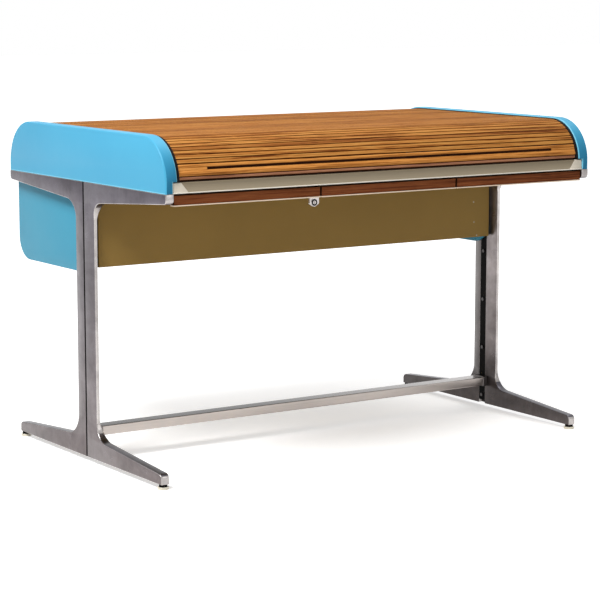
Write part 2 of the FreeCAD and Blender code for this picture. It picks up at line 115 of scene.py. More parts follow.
def blend_colour(tree, factor, first, second, mode="MIX"):
    node = tree.nodes.new("ShaderNodeMix")
    node.data_type = "RGBA"
    node.blend_type = mode
    colour_sockets = (node.inputs[0], node.inputs[6], node.inputs[7])
    for socket, value in zip(colour_sockets, (factor, first, second)):
        connect(tree, socket, value)
    return node.outputs[2]


def times(tree, first, second, share=1.0):
    """A colour multiplied by another one, as a whole or by a share."""
    return blend_colour(tree, share, first, second, "MULTIPLY")


def colour(red, green, blue):
    return (red, green, blue, 1.0)


def ramp(tree, factor, stops):
    """Colour ramp with (position, colour) stops."""
    node = add(tree, "ShaderNodeValToRGB", Fac=factor)
    bar = node.color_ramp.elements
    bar[0].position, bar[0].color = stops[0]
    bar[1].position, bar[1].color = stops[-1]
    for position, value in stops[1:-1]:
        bar.new(position).color = value
    return node.outputs["Color"]


def finish_named(name):
    """Material with a Principled shader, its tree and that shader."""
    material = bpy.data.materials.new(name)
    material.use_nodes = True
    tree = material.node_tree
    return material, tree, tree.nodes["Principled BSDF"]


def stretched(tree, scale=(1, 1, 1), shift=None):
    """Object coordinates, stretched along some axes."""
    place = add(tree, "ShaderNodeTexCoord").outputs["Object"]
    mapping = add(tree, "ShaderNodeMapping", Vector=place, Scale=scale)
    if shift is not None:
        connect(tree, mapping.inputs["Location"], shift)
    return mapping.outputs["Vector"]


def noise(tree, vector, scale, detail, roughness=0.5, distortion=0.0):
    node = add(tree, "ShaderNodeTexNoise", Vector=vector, Scale=scale, Detail=detail,
               Roughness=roughness, Distortion=distortion)
    return node.outputs["Fac"]


def spread(tree, value, low, high):
    """A value from 0 to 1 spread over another range."""
    node = add(tree, "ShaderNodeMapRange", Value=value, To_Min=low, To_Max=high)
    return node.outputs["Result"]


def share_between(tree, value, start, end):
    """How far a value has come from start to end, from 0 to 1."""
    node = add(tree, "ShaderNodeMapRange", Value=value, From_Min=start, From_Max=end)
    return node.outputs["Result"]


def bump(tree, shader, height, strength, distance):
    node = add(tree, "ShaderNodeBump", Height=height, Strength=strength, Distance=distance)
    tree.links.new(node.outputs["Normal"], shader.inputs["Normal"])


def toned_by_height(tree, tint, heights):
    """A colour times the tones given at heights above the floor."""
    height = part_of(tree, stretched(tree), "Z")
    return times(tree, tint, ramp(tree, height, heights))


def seen_directly(tree):
    """1 for rays from the camera, in mirrors and through glass, 0 for diffuse light."""
    ray = add(tree, "ShaderNodeLightPath").outputs
    bounced = calc(tree, "MAXIMUM", ray["Is Glossy Ray"], ray["Is Transmission Ray"])
    return calc(tree, "MAXIMUM", ray["Is Camera Ray"], bounced)


# Kinds of finish


def paint(name, base, deep, gloss, sheen, heights=None):
    """Satin paint with faint cloudy variation and a fine orange-peel surface; heights gives the
    tones at heights above the floor."""
    material, tree, shader = finish_named(name)
    shader.inputs["Specular IOR Level"].default_value = sheen
    cloud = noise(tree, stretched(tree), scale=5.0, detail=3.0)
    tint = blend_colour(tree, cloud, deep, base)
    if heights:
        tint = toned_by_height(tree, tint, heights)
    connect(tree, shader.inputs["Base Color"], tint)
    patch = noise(tree, stretched(tree), scale=22.0, detail=5.0, roughness=0.6)
    connect(tree, shader.inputs["Roughness"], spread(tree, patch, gloss - 0.05, gloss + 0.08))
    peel = noise(tree, stretched(tree), scale=420.0, detail=2.0)
    bump(tree, shader, peel, strength=0.06, distance=0.0004)
    return material


def oiled_wood(name, dark, middle, light, tone_attribute=None):
    """Straight-grained oiled wood with its grain along X; each slat may carry its own tone, and
    painted shade darkens its sides towards the gaps.
    """
    material, tree, shader = finish_named(name)
    shader.inputs["Specular IOR Level"].default_value = 0.03
    shift = None
    if tone_attribute:
        tone = attribute(tree, tone_attribute)
        shift = joined(tree, calc(tree, "MULTIPLY", tone, 31.0),
                       calc(tree, "MULTIPLY", tone, 17.0), 0.0)
    grain = noise(tree, stretched(tree, (1.5, 75.0, 75.0), shift), scale=3.0, detail=8.0,
                  roughness=0.64, distortion=0.7)
    fibre = noise(tree, stretched(tree, (14.0, 700.0, 700.0), shift), scale=1.6, detail=3.0,
                  roughness=0.6)
    figure = ramp(tree, grain, [(0.38, dark), (0.475, middle), (0.57, light), (0.7, middle)])
    if tone_attribute:
        shade = ramp(tree, tone, [(0.0, colour(0.62, 0.52, 0.46)), (0.45, colour(0.95, 0.92, 0.89)),
                                  (1.0, colour(1.08, 1.12, 1.14))])
        figure = times(tree, figure, shade)
        # painted shade: each slat's sides turn dark towards the gaps between slats
        edge = attribute(tree, "slat_edge")
        gap_shade = ramp(tree, edge, [(0.78, WHITE), (0.98, colour(0.14, 0.09, 0.07))])
        figure = times(tree, figure, gap_shade)
    streak = ramp(tree, fibre, [(0.3, colour(0.6, 0.52, 0.46)), (0.6, WHITE)])
    connect(tree, shader.inputs["Base Color"], times(tree, figure, streak, share=0.8))
    connect(tree, shader.inputs["Roughness"], spread(tree, fibre, 0.75, 0.58))
    bump(tree, shader, fibre, strength=0.2, distance=0.0006)
    return material


def worn_aluminium(name, dark, light, rough, along, heights=None):
    """Brushed and a little oxidised cast aluminium; along gives the stretch of its brush marks,
    heights the tones at heights above the floor."""
    material, tree, shader = finish_named(name)
    shader.inputs["Metallic"].default_value = 1.0
    cloud = noise(tree, stretched(tree), scale=9.0, detail=7.0, roughness=0.66, distortion=0.5)
    stain = noise(tree, stretched(tree), scale=38.0, detail=6.0, roughness=0.7, distortion=0.3)
    brush = noise(tree, stretched(tree, along), scale=5.0, detail=5.0, roughness=0.6)
    tint = ramp(tree, cloud, [(0.3, dark), (0.68, light)])
    mottle = ramp(tree, stain, [(0.32, colour(0.84, 0.81, 0.8)), (0.62, colour(1.04, 1.04, 1.05))])
    tint = times(tree, tint, mottle, share=0.6)
    streak = ramp(tree, brush, [(0.3, colour(0.88, 0.87, 0.87)), (0.68, colour(1.03, 1.03, 1.04))])
    tint = times(tree, tint, streak, share=0.6)
    if heights:
        tint = toned_by_height(tree, tint, heights)
    connect(tree, shader.inputs["Base Color"], tint)
    connect(tree, shader.inputs["Roughness"], spread(tree, stain, rough + 0.12, rough - 0.08))
    bump(tree, shader, brush, strength=0.06, distance=0.0004)
    return material


def moulded(name, base, deep, rough, pit=0.05, sheen=0.4):
    """Moulded plastic, enamel, cloth or laminate with a fine pebbled surface."""
    material, tree, shader = finish_named(name)
    shader.inputs["Specular IOR Level"].default_value = sheen
    cloud = noise(tree, stretched(tree), scale=9.0, detail=3.0)
    connect(tree, shader.inputs["Base Color"], blend_colour(tree, cloud, deep, base))
    pebble = noise(tree, stretched(tree), scale=900.0, detail=2.0)
    connect(tree, shader.inputs["Roughness"], spread(tree, pebble, rough - 0.04, rough + 0.06))
    bump(tree, shader, pebble, strength=pit, distance=0.0003)
    return material


def extruded(name, base, deep, rough, metallic, sheen=0.4, turn=None):
    """Drawn metal or moulding with fine lines along X; turn names an axis and the two places on it
    between which the tone goes from deep to base."""
    material, tree, shader = finish_named(name)
    shader.inputs["Metallic"].default_value = metallic
    shader.inputs["Specular IOR Level"].default_value = sheen
    line = noise(tree, stretched(tree, (2.0, 260.0, 260.0)), scale=2.2, detail=4.0, roughness=0.6)
    if turn:
        axis, start, end = turn
        tone = share_between(tree, part_of(tree, stretched(tree), axis), start, end)
    else:
        tone = noise(tree, stretched(tree, (2.0, 8.0, 8.0)), scale=2.0, detail=4.0, roughness=0.55)
    tint = blend_colour(tree, tone, deep, base)
    streak = ramp(tree, line, [(0.3, colour(0.86, 0.86, 0.85)), (0.66, WHITE)])
    connect(tree, shader.inputs["Base Color"], times(tree, tint, streak, share=0.7))
    connect(tree, shader.inputs["Roughness"], spread(tree, line, rough + 0.08, rough - 0.04))
    bump(tree, shader, line, strength=0.1, distance=0.0003)
    return material


# Paints; the tones are given at heights above the floor

# Painted shade on the end panels' rims: the blue darkens the lower the rim face is, full from 0.835
# m up
RIM_SHADE_TONES = [(0.7, colour(0.3, 0.5, 0.58)), (0.77, colour(0.5, 0.66, 0.72)), (0.835, WHITE)]
blue_paint = paint("blue_paint", base=colour(0.065, 0.34, 0.52), deep=colour(0.05, 0.3, 0.48),
                   gloss=0.36, sheen=0.2)
rim_shade_paint = paint("rim_shade_paint", base=colour(0.065, 0.34, 0.52), deep=colour(0.05, 0.3, 0.48),
                  gloss=0.42, sheen=0.1, heights=RIM_SHADE_TONES)
# Painted highlight: a paler blue on the rounded edges between the panels' sides and rims
corner_highlight_paint = paint("corner_highlight_paint", base=colour(0.17, 0.5, 0.66), deep=colour(0.12, 0.44, 0.6),
                     gloss=0.36, sheen=0.25)
bin_paint = paint("bin_paint", base=colour(0.052, 0.285, 0.405), deep=colour(0.043, 0.25, 0.375),
                  gloss=0.4, sheen=0.15)
olive_paint = paint("olive_paint", base=colour(0.25, 0.156, 0.04), deep=colour(0.21, 0.13, 0.032),
                    gloss=0.5, sheen=0.15)

# Woods

tambour_wood = oiled_wood("tambour_wood", dark=colour(0.21, 0.056, 0.012),
                          middle=colour(0.74, 0.292, 0.062), light=colour(0.92, 0.46, 0.118),
                          tone_attribute="slat_tone")
lead_wood = oiled_wood("lead_wood", dark=colour(0.27, 0.095, 0.02),
                       middle=colour(0.54, 0.215, 0.047), light=colour(0.68, 0.3, 0.075))
lead_shade_wood = oiled_wood("lead_shade_wood", dark=colour(0.3, 0.13, 0.07),
                             middle=colour(0.45, 0.2, 0.11), light=colour(0.52, 0.25, 0.14))
# Near-black painted shade for the lead rail's groove and hidden faces and for the drawer fronts'
# edges beside the gaps
painted_shade_wood = oiled_wood("painted_shade_wood", dark=colour(0.02, 0.007, 0.003),
                         middle=colour(0.045, 0.015, 0.006), light=colour(0.06, 0.02, 0.008))
drawer_wood = oiled_wood("drawer_wood", dark=colour(0.09, 0.025, 0.0095),
                         middle=colour(0.18, 0.053, 0.019), light=colour(0.25, 0.08, 0.028))

# Metals; the tones are given at heights above the floor

BRUSHED_UPRIGHT = (40, 40, 3)
BRUSHED_ALL_WAYS = (30, 30, 30)
# Painted shade and dark reflection: the legs darken and turn bluer up towards the arms, under the
# desk top; a little browner at the floor
LEG_SHADE_TONES = [(0.0, colour(0.92, 0.85, 0.81)), (0.1, colour(0.98, 0.93, 0.9)),
             (0.25, colour(0.87, 0.85, 0.845)), (0.56, colour(0.82, 0.82, 0.85)),
             (0.69, colour(0.72, 0.71, 0.79))]
# Painted shade on the legs' inner faces: darker towards the floor, much darker on the front halves
INNER_REAR_SHADE_TONES = [(0.0, colour(0.76, 0.74, 0.74)), (0.1, colour(0.82, 0.81, 0.81)), (0.3, WHITE)]
INNER_FRONT_SHADE_TONES = [(0.0, colour(0.38, 0.37, 0.37)), (0.1, colour(0.41, 0.4, 0.4)),
                     (0.2, colour(0.8, 0.79, 0.79)), (0.32, WHITE)]
leg_metal = worn_aluminium("leg_metal", dark=colour(0.112, 0.102, 0.107),
                           light=colour(0.212, 0.197, 0.205), rough=0.28, along=BRUSHED_UPRIGHT,
                           heights=LEG_SHADE_TONES)
inner_leg_shade_metal = worn_aluminium("inner_leg_shade_metal", dark=colour(0.074, 0.066, 0.064),
                                 light=colour(0.142, 0.128, 0.124), rough=0.28,
                                 along=BRUSHED_UPRIGHT, heights=INNER_REAR_SHADE_TONES)
inner_front_shade_metal = worn_aluminium("inner_front_shade_metal", dark=colour(0.148, 0.132, 0.13),
                                   light=colour(0.284, 0.256, 0.252), rough=0.28,
                                   along=BRUSHED_UPRIGHT, heights=INNER_FRONT_SHADE_TONES)
# Painted dark reflection on the tops of the feet
foot_top_dark_reflection = worn_aluminium("foot_top_dark_reflection", dark=colour(0.06, 0.057, 0.066),
                                light=colour(0.14, 0.135, 0.15), rough=0.28, along=(40, 6, 40))
# Polished rims with a painted highlight: this bright metal also goes on every casting face turned
# to the front
leg_rim_highlight = worn_aluminium("leg_rim_highlight", dark=colour(0.24, 0.225, 0.22), light=colour(0.5, 0.475, 0.46),
                         rough=0.2, along=(30, 30, 6))
socket_metal = worn_aluminium("socket_metal", dark=colour(0.12, 0.11, 0.11),
                              light=colour(0.24, 0.22, 0.21), rough=0.32, along=(4, 40, 40))
bolt_metal = worn_aluminium("bolt_metal", dark=colour(0.06, 0.06, 0.06),
                            light=colour(0.14, 0.13, 0.13), rough=0.4, along=BRUSHED_ALL_WAYS)
lock_metal = worn_aluminium("lock_metal", dark=colour(0.42, 0.39, 0.37),
                            light=colour(0.6, 0.57, 0.55), rough=0.3, along=BRUSHED_ALL_WAYS)
rivet_metal = worn_aluminium("rivet_metal", dark=colour(0.22, 0.18, 0.11),
                             light=colour(0.32, 0.28, 0.2), rough=0.38, along=BRUSHED_ALL_WAYS)
rail_metal = extruded("rail_metal", base=colour(0.53, 0.48, 0.445), deep=colour(0.37, 0.33, 0.31),
                      rough=0.3, metallic=1.0)
# Painted reflection on the foot rail's top: near black at the left, turning bright to the right
rail_top_reflection_metal = extruded("rail_top_reflection_metal", base=colour(0.6, 0.57, 0.56),
                          deep=colour(0.02, 0.017, 0.016), rough=0.24, metallic=1.0,
                          turn=("X", -0.15, 0.75))

# Mouldings, plastics, laminate, enamel and cloth

# Painted shade: the front edge rail darkens towards its top, under the tambour's overhang
edge_moulding = extruded("edge_moulding", base=colour(0.36, 0.3, 0.21),
                         deep=colour(0.2, 0.16, 0.105), rough=0.45, metallic=0.0, sheen=0.15,
                         turn=("Z", 0.744, 0.72))
lip_moulding = extruded("lip_moulding", base=colour(0.78, 0.73, 0.65), deep=colour(0.7, 0.65, 0.57),
                        rough=0.35, metallic=0.0)
cap_moulding = moulded("cap_moulding", base=colour(0.66, 0.6, 0.5), deep=colour(0.6, 0.54, 0.44),
                       rough=0.42, sheen=0.25)
cream_plastic = moulded("cream_plastic", base=colour(0.84, 0.68, 0.52),
                        deep=colour(0.78, 0.62, 0.47), rough=0.45, sheen=0.25)
ivory_plastic = moulded("ivory_plastic", base=colour(0.78, 0.73, 0.61),
                        deep=colour(0.7, 0.65, 0.53), rough=0.35)
white_laminate = moulded("white_laminate", base=colour(0.76, 0.74, 0.69),
                         deep=colour(0.72, 0.7, 0.65), rough=0.35)
black_plastic = moulded("black_plastic", base=colour(0.007, 0.007, 0.008),
                        deep=colour(0.004, 0.004, 0.004), rough=0.65, sheen=0.08)
black_enamel = moulded("black_enamel", base=colour(0.006, 0.0055, 0.0055),
                       deep=colour(0.004, 0.004, 0.004), rough=0.6, sheen=0.05)
dark_canvas = moulded("dark_canvas", base=colour(0.03, 0.018, 0.011),
                      deep=colour(0.016, 0.01, 0.007), rough=0.85, pit=0.3, sheen=0.1)

# Start of a CAD node's name and its finish; the first one that fits counts
FINISHES = [
    ("end_panel", blue_paint), ("bin_end_panel", bin_paint), ("leg_casting", leg_metal),
    ("leg_spine", black_enamel), ("leg_bolts", bolt_metal), ("foot_rail_socket", socket_metal),
    ("foot_rail", rail_metal), ("glide_pad", ivory_plastic), ("glide_stem", black_enamel),
    ("work_surface", white_laminate), ("front_edge_rail", edge_moulding),
    ("edge_rail_cap", cap_moulding), ("side_rail", black_enamel), ("drawer_runner", black_enamel),
    ("drawer_front", drawer_wood), ("drawer_tray", cream_plastic), ("lock", lock_metal),
    ("bin_front_panel", olive_paint), ("bin_trough", olive_paint), ("back_cover", olive_paint),
    ("tambour_track", black_plastic), ("tambour_lead_rail", lead_wood),
    ("tambour_strip", tambour_wood),
]


def finish_cad_nodes():
    for name, node in cad_nodes.items():
        material = next(value for start, value in FINISHES if name.startswith(start))
        node.data.materials.clear()
        node.data.materials.append(material)


# Piece helpers; lengths in metres, angles in degrees

SAME_POINT = 1e-6
SHORTEST_EDGE = 0.0008
NARROWEST_FACE = 0.0008
FLAT_ANGLE = 0.5
EDGE_ANGLE = 28
SMOOTH_ANGLE = 35
SLAT_SMOOTH_ANGLE = 40
LEAD_SMOOTH_ANGLE = 38
LENGTHWISE_SHARE = 0.95
NO_RIM = -1


def new_object(name, data):
    item = bpy.data.objects.new(name, data)
    bpy.context.scene.collection.objects.link(item)
    return item


def piece_from_mesh(name, mesh, body):
    piece = new_object(name, mesh)
    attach(piece, body)
    return piece


def mesh_from(shape, name, materials=()):
    """Plain mesh of a shape, which is then freed."""
    mesh = bpy.data.meshes.new(name)
    shape.to_mesh(mesh)
    shape.free()
    for material in materials:
        mesh.materials.append(material)
    return mesh


def smooth_below(mesh, degrees):
    mesh.shade_smooth()
    mesh.set_sharp_from_angle(angle=math.radians(degrees))


def plain_mesh(source, name):
    """The evaluated object as a plain mesh; the object with its modifiers is then removed."""
    bpy.context.view_layer.update()
    evaluated = source.evaluated_get(bpy.context.evaluated_depsgraph_get())
    mesh = bpy.data.meshes.new_from_object(evaluated)
    mesh.name = name
    bpy.data.objects.remove(source)
    return mesh


def merged_copy(node, weld, materials):
    """Mesh of a CAD node with points closer than weld merged and its flat faces joined."""
    shape = bmesh.new()
    shape.from_mesh(cad_nodes[node].data)
    bmesh.ops.remove_doubles(shape, verts=shape.verts, dist=weld)
    bmesh.ops.dissolve_limit(shape, angle_limit=math.radians(FLAT_ANGLE), verts=shape.verts,
                             edges=shape.edges)
    for face in shape.faces:
        face.material_index = 0
    return mesh_from(shape, node + "_dressed", materials)


def mark_sharp_edges(mesh, angle, only_along_x):
    """Mark the edges to be rounded; the edges of slivers and of small holes stay sharp."""
    shape = bmesh.new()
    shape.from_mesh(mesh)
    layer = shape.edges.layers.float.new("bevel_weight_edge")
    for edge in shape.edges:
        length = edge.calc_length()
        room = min(face.calc_area() for face in edge.link_faces) / length
        run = abs(edge.verts[0].co.x - edge.verts[1].co.x)
        is_sharp = edge.calc_face_angle(0.0) > math.radians(angle)
        has_room = length > SHORTEST_EDGE and room > NARROWEST_FACE
        is_wanted = run > LENGTHWISE_SHARE * length or not only_along_x
        edge[layer] = float(is_sharp and has_room and is_wanted)
    shape.to_mesh(mesh)
    shape.free()


def soften_edges(node, body, materials, width, segments, rim=NO_RIM, angle=EDGE_ANGLE,
                 pick=None, weld=SAME_POINT, only_along_x=False):
    """A CAD node's own shape with its sharp edges rounded, in place of the node. The faces take the
    first material, the rounded edges the one numbered rim, and pick gives the number of another
    material for a face, or None to leave it."""
    mesh = merged_copy(node, weld, materials)
    mark_sharp_edges(mesh, angle, only_along_x)
    source = new_object(node + "_source", mesh)
    edge = source.modifiers.new("edge", "BEVEL")
    edge.width = width
    edge.segments = segments
    edge.limit_method = "WEIGHT"
    edge.use_clamp_overlap = False
    edge.material = rim
    dressed = plain_mesh(source, node + "_dressed")
    if pick:
        for face in dressed.polygons:
            number = pick(face)
            if number is not None:
                face.material_index = number
    smooth_below(dressed, SMOOTH_ANGLE)
    piece = piece_from_mesh(node + "_dressed", dressed, body)
    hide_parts(node)


def new_tree(name, inputs):
    """Geometry tree with a geometry output and (name, socket type) inputs."""
    tree = bpy.data.node_groups.new(name, "GeometryNodeTree")
    tree.interface.new_socket(name="Geometry", in_out="OUTPUT", socket_type="NodeSocketGeometry")
    for label, kind in inputs:
        tree.interface.new_socket(name=label, in_out="INPUT", socket_type="NodeSocket" + kind)
    return tree, tree.nodes.new("NodeGroupInput").outputs


def finish_tree(tree, instances, material):
    """End of a tree: real geometry with its material."""
    real = add(tree, "GeometryNodeRealizeInstances", Geometry=instances).outputs[0]
    coated = add(tree, "GeometryNodeSetMaterial", Geometry=real, Material=material).outputs[0]
    add(tree, "NodeGroupOutput", Geometry=coated)


def mesh_from_tree(tree, name, mesh, values):
    """Plain mesh that a tree with these inputs makes of a mesh."""
    source = new_object(name + "_source", mesh)
    modifier = source.modifiers.new("tree", "NODES")
    modifier.node_group = tree
    sockets = {item.name: item.identifier for item in tree.interface.items_tree
               if item.item_type == "SOCKET" and item.in_out == "INPUT"}
    for label, value in values.items():
        modifier[sockets[label]] = value
    return plain_mesh(source, name)


# Tambour slats


def slat_tree():
    """Tree that lays rounded slats along the tambour's path, a count of them from a first one."""
    whole = [(name, "Int") for name in ("First", "Count", "Seed")]
    lengths = [(name, "Float") for name in ("Pitch", "Slat Width", "Thickness", "Crown Radius",
                                            "Half Length", "Bend Radius", "Front Bend",
                                            "Bend Height", "Top Length")]
    tree, given = new_tree("tambour_slats", whole + lengths + [("Wood", "Material")])
    number = calc(tree, "ADD", given["First"], add(tree, "GeometryNodeInputIndex").outputs[0])
    place, heading = slat_places(tree, given, number)
    points = add(tree, "GeometryNodeMeshLine", Count=given["Count"]).outputs["Mesh"]
    points = add(tree, "GeometryNodeSetPosition", Geometry=points, Position=place).outputs[0]
    laid = add(tree, "GeometryNodeInstanceOnPoints", Points=points, Instance=one_slat(tree, given),
               Rotation=joined(tree, heading, 0.0, 0.0)).outputs[0]
    tone = add(tree, "FunctionNodeRandomValue", {"data_type": "FLOAT"}, ID=number,
               Seed=given["Seed"]).outputs[1]
    laid = add(tree, "GeometryNodeStoreNamedAttribute",
               {"data_type": "FLOAT", "domain": "INSTANCE"}, Geometry=laid, Name="slat_tone",
               Value=tone).outputs[0]
    finish_tree(tree, laid, given["Wood"])
    return tree


def slat_places(tree, given, number):
    """Place of a numbered slat on the front bend, flat top or rear bend, and its heading."""
    radius = given["Bend Radius"]
    run = calc(tree, "MULTIPLY", calc(tree, "ADD", number, 0.5), given["Pitch"])
    bend = calc(tree, "MULTIPLY", radius, math.pi / 2)
    past_bend = calc(tree, "SUBTRACT", run, bend)
    front = calc(tree, "DIVIDE", calc(tree, "MINIMUM", run, bend), radius)
    top = calc(tree, "MINIMUM", calc(tree, "MAXIMUM", past_bend, 0.0), given["Top Length"])
    past_top = calc(tree, "MAXIMUM", calc(tree, "SUBTRACT", past_bend, given["Top Length"]), 0.0)
    rear = calc(tree, "DIVIDE", past_top, radius)
    front_y = calc(tree, "MULTIPLY", radius, calc(tree, "COSINE", front))
    rear_y = calc(tree, "MULTIPLY", radius, calc(tree, "SINE", rear))
    flat_y = calc(tree, "ADD", given["Front Bend"], top)
    y = calc(tree, "ADD", calc(tree, "SUBTRACT", flat_y, front_y), rear_y)
    both = calc(tree, "ADD", calc(tree, "SINE", front), calc(tree, "COSINE", rear))
    rise = calc(tree, "MULTIPLY", radius, calc(tree, "SUBTRACT", both, 1.0))
    z = calc(tree, "ADD", given["Bend Height"], rise)
    heading = calc(tree, "SUBTRACT", math.pi / 2, calc(tree, "ADD", front, rear))
    return joined(tree, 0.0, y, z), heading


def one_slat(tree, given):
    """Slat along X under its outer face, with a round crown; slat_edge grows to 1 at its sides,
    where the wood takes painted shade.
    """
    section = add(tree, "GeometryNodeCurvePrimitiveQuadrilateral", Width=given["Slat Width"],
                  Height=given["Thickness"]).outputs[0]
    corner = add(tree, "GeometryNodeInputPosition").outputs[0]
    is_upper = calc(tree, "GREATER_THAN", part_of(tree, corner, "Y"), 0.0)
    crown = calc(tree, "MULTIPLY", is_upper, given["Crown Radius"])
    rounding = calc(tree, "MAXIMUM", crown, LOWER_RADIUS)
    section = add(tree, "GeometryNodeFilletCurve", {"mode": "POLY"}, Curve=section,
                  Radius=rounding, Count=ROUNDING_STEPS).outputs[0]
    across = calc(tree, "ABSOLUTE", part_of(tree, corner, "X"))
    half_width = calc(tree, "MULTIPLY", given["Slat Width"], 0.5)
    half_flat = calc(tree, "SUBTRACT", half_width, given["Crown Radius"])
    section = add(tree, "GeometryNodeStoreNamedAttribute",
                  {"data_type": "FLOAT", "domain": "POINT"}, Geometry=section, Name="slat_edge",
                  Value=share_between(tree, across, half_flat, half_width)).outputs[0]
    end = joined(tree, given["Half Length"], 0.0, 0.0)
    start = joined(tree, calc(tree, "MULTIPLY", given["Half Length"], -1.0), 0.0, 0.0)
    axis = add(tree, "GeometryNodeCurvePrimitiveLine", Start=start, End=end).outputs[0]
    axis = add(tree, "GeometryNodeSetCurveNormal", {"mode": "Z_UP"}, Curve=axis).outputs[0]
    slat = add(tree, "GeometryNodeCurveToMesh", Curve=axis, Profile_Curve=section,
               Fill_Caps=True).outputs[0]
    sunk = joined(tree, 0.0, 0.0, calc(tree, "MULTIPLY", given["Thickness"], -0.5))
    return add(tree, "GeometryNodeTransform", Geometry=slat, Translation=sunk).outputs[0]


def lay_slats(tree, node, first, count):
    """The slats of one strip, in place of its CAD node."""
    name = node + "_slats"
    mesh = mesh_from_tree(tree, name, bpy.data.meshes.new(name + "_source"), {
        "First": first, "Count": count, "Seed": TONE_SEED, "Pitch": SLAT_PITCH,
        "Slat Width": SLAT_PITCH - SLAT_GAP, "Thickness": SLAT_THICKNESS,
        "Crown Radius": CROWN_RADIUS, "Half Length": SLAT_HALF_LENGTH,
        "Bend Radius": BEND_RADIUS, "Front Bend": FRONT_BEND_Y, "Bend Height": BEND_HEIGHT,
        "Top Length": TOP_LENGTH, "Wood": tambour_wood,
    })
    smooth_below(mesh, SLAT_SMOOTH_ANGLE)
    piece = piece_from_mesh(name, mesh, node)
    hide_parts(node)


def path_point(run, depth):
    """Point (y, z) at a depth under the tambour's face, at a run from its front."""
    bend = BEND_RADIUS * math.pi / 2
    front = min(run, bend) / BEND_RADIUS
    rear = max(run - bend - TOP_LENGTH, 0.0) / BEND_RADIUS
    top = min(max(run - bend, 0.0), TOP_LENGTH)
    inner = BEND_RADIUS - depth
    y = FRONT_BEND_Y + top - inner * math.cos(front) + inner * math.sin(rear)
    return y, BEND_HEIGHT + inner * (math.sin(front) + math.cos(rear) - 1.0)


def lay_canvas(node, first, count):
    """The cloth that joins the slats of one strip from behind."""
    steps = CLOTH_STEPS_PER_SLAT * count
    start = first * SLAT_PITCH + SLAT_GAP
    length = count * SLAT_PITCH - 2 * SLAT_GAP
    half = SLAT_HALF_LENGTH - CLOTH_INSET
    shape = bmesh.new()
    rings = []
    for step in range(steps + 1):
        run = start + length * step / steps
        outer = path_point(run, SLAT_THICKNESS - CLOTH_IN_SLATS)
        inner = path_point(run, SLAT_THICKNESS - CLOTH_OFF_BACK)
        corners = [(-half, *outer), (half, *outer), (half, *inner), (-half, *inner)]
        rings.append([shape.verts.new(corner) for corner in corners])
    for before, after in zip(rings, rings[1:]):
        for side in range(4):
            other = (side + 1) % 4
            shape.faces.new((before[side], before[other], after[other], after[side]))
    shape.faces.new(rings[0][::-1])
    shape.faces.new(rings[-1])
    bmesh.ops.recalc_face_normals(shape, faces=shape.faces)
    mesh = mesh_from(shape, node + "_canvas", [dark_canvas])
    smooth_below(mesh, SLAT_SMOOTH_ANGLE)
    piece_from_mesh(node + "_canvas", mesh, node)


# Run along the bend, depth at the plain ends, depth where the finger groove is (millimetres)
LEAD_PROFILE = [
    (5.6, 9.9, 9.9), (5.6, 7.4, 7.4), (9.6, 7.0, 7.0), (9.8, 4.0, 4.0), (10.6, 3.4, 3.4),
    (15.4, 2.9, 2.9), (16.2, 3.3, 3.3), (16.5, 5.0, 5.0), (18.0, 5.0, 5.0), (18.3, 2.2, 2.2),
    (19.0, 1.1, 1.1), (20.4, 0.4, 0.4), (22.2, 0.1, 0.1), (24.2, 0.0, 0.0), (26.4, 0.2, 0.2),
    (28.2, 0.7, 0.7), (29.8, 1.5, 1.5), (31.0, 1.7, 2.4), (33.0, 1.5, 4.6), (34.0, 1.4, 5.5),
    (37.4, 1.4, 5.5), (38.4, 1.4, 5.2), (38.8, 1.4, 1.5), (39.6, 0.7, 0.7), (41.4, 0.1, 0.1),
    (43.4, 0.0, 0.0), (45.6, 0.3, 0.3), (46.9, 1.1, 1.1), (47.4, 2.2, 2.2), (47.4, 9.9, 9.9),
]
PLAIN, GROOVED = 1, 2
MM_PER_METRE = 1000

# Faces of the lead rail, by the number of the profile point that they start from; shaded faces take
# a painted-shade wood, hidden and groove faces a near-black painted shade
SHADED_FACES = (3, 4, 5)
HIDDEN_FACES = (0, 1, 2, 6, 7, 8)
GROOVE_FACES = (18, 19, 20, 21)

LEAD_WOODS = [lead_wood, lead_shade_wood, painted_shade_wood]
LIT_WOOD, SHADED_WOOD, DEEP_SHADE_WOOD = range(len(LEAD_WOODS))
GROOVE_HALF_LENGTH = 0.532
GROOVE_END_SLOPE = 0.0012


def lead_finish(index, columns):
    """Wood of the face from a profile point, between two stations with these profile columns:
    near-black painted shade in the groove and on hidden faces, a shaded wood on the set-back face.
    """
    if index in HIDDEN_FACES or (index in GROOVE_FACES and GROOVED in columns):
        return DEEP_SHADE_WOOD
    return SHADED_WOOD if index in SHADED_FACES else LIT_WOOD


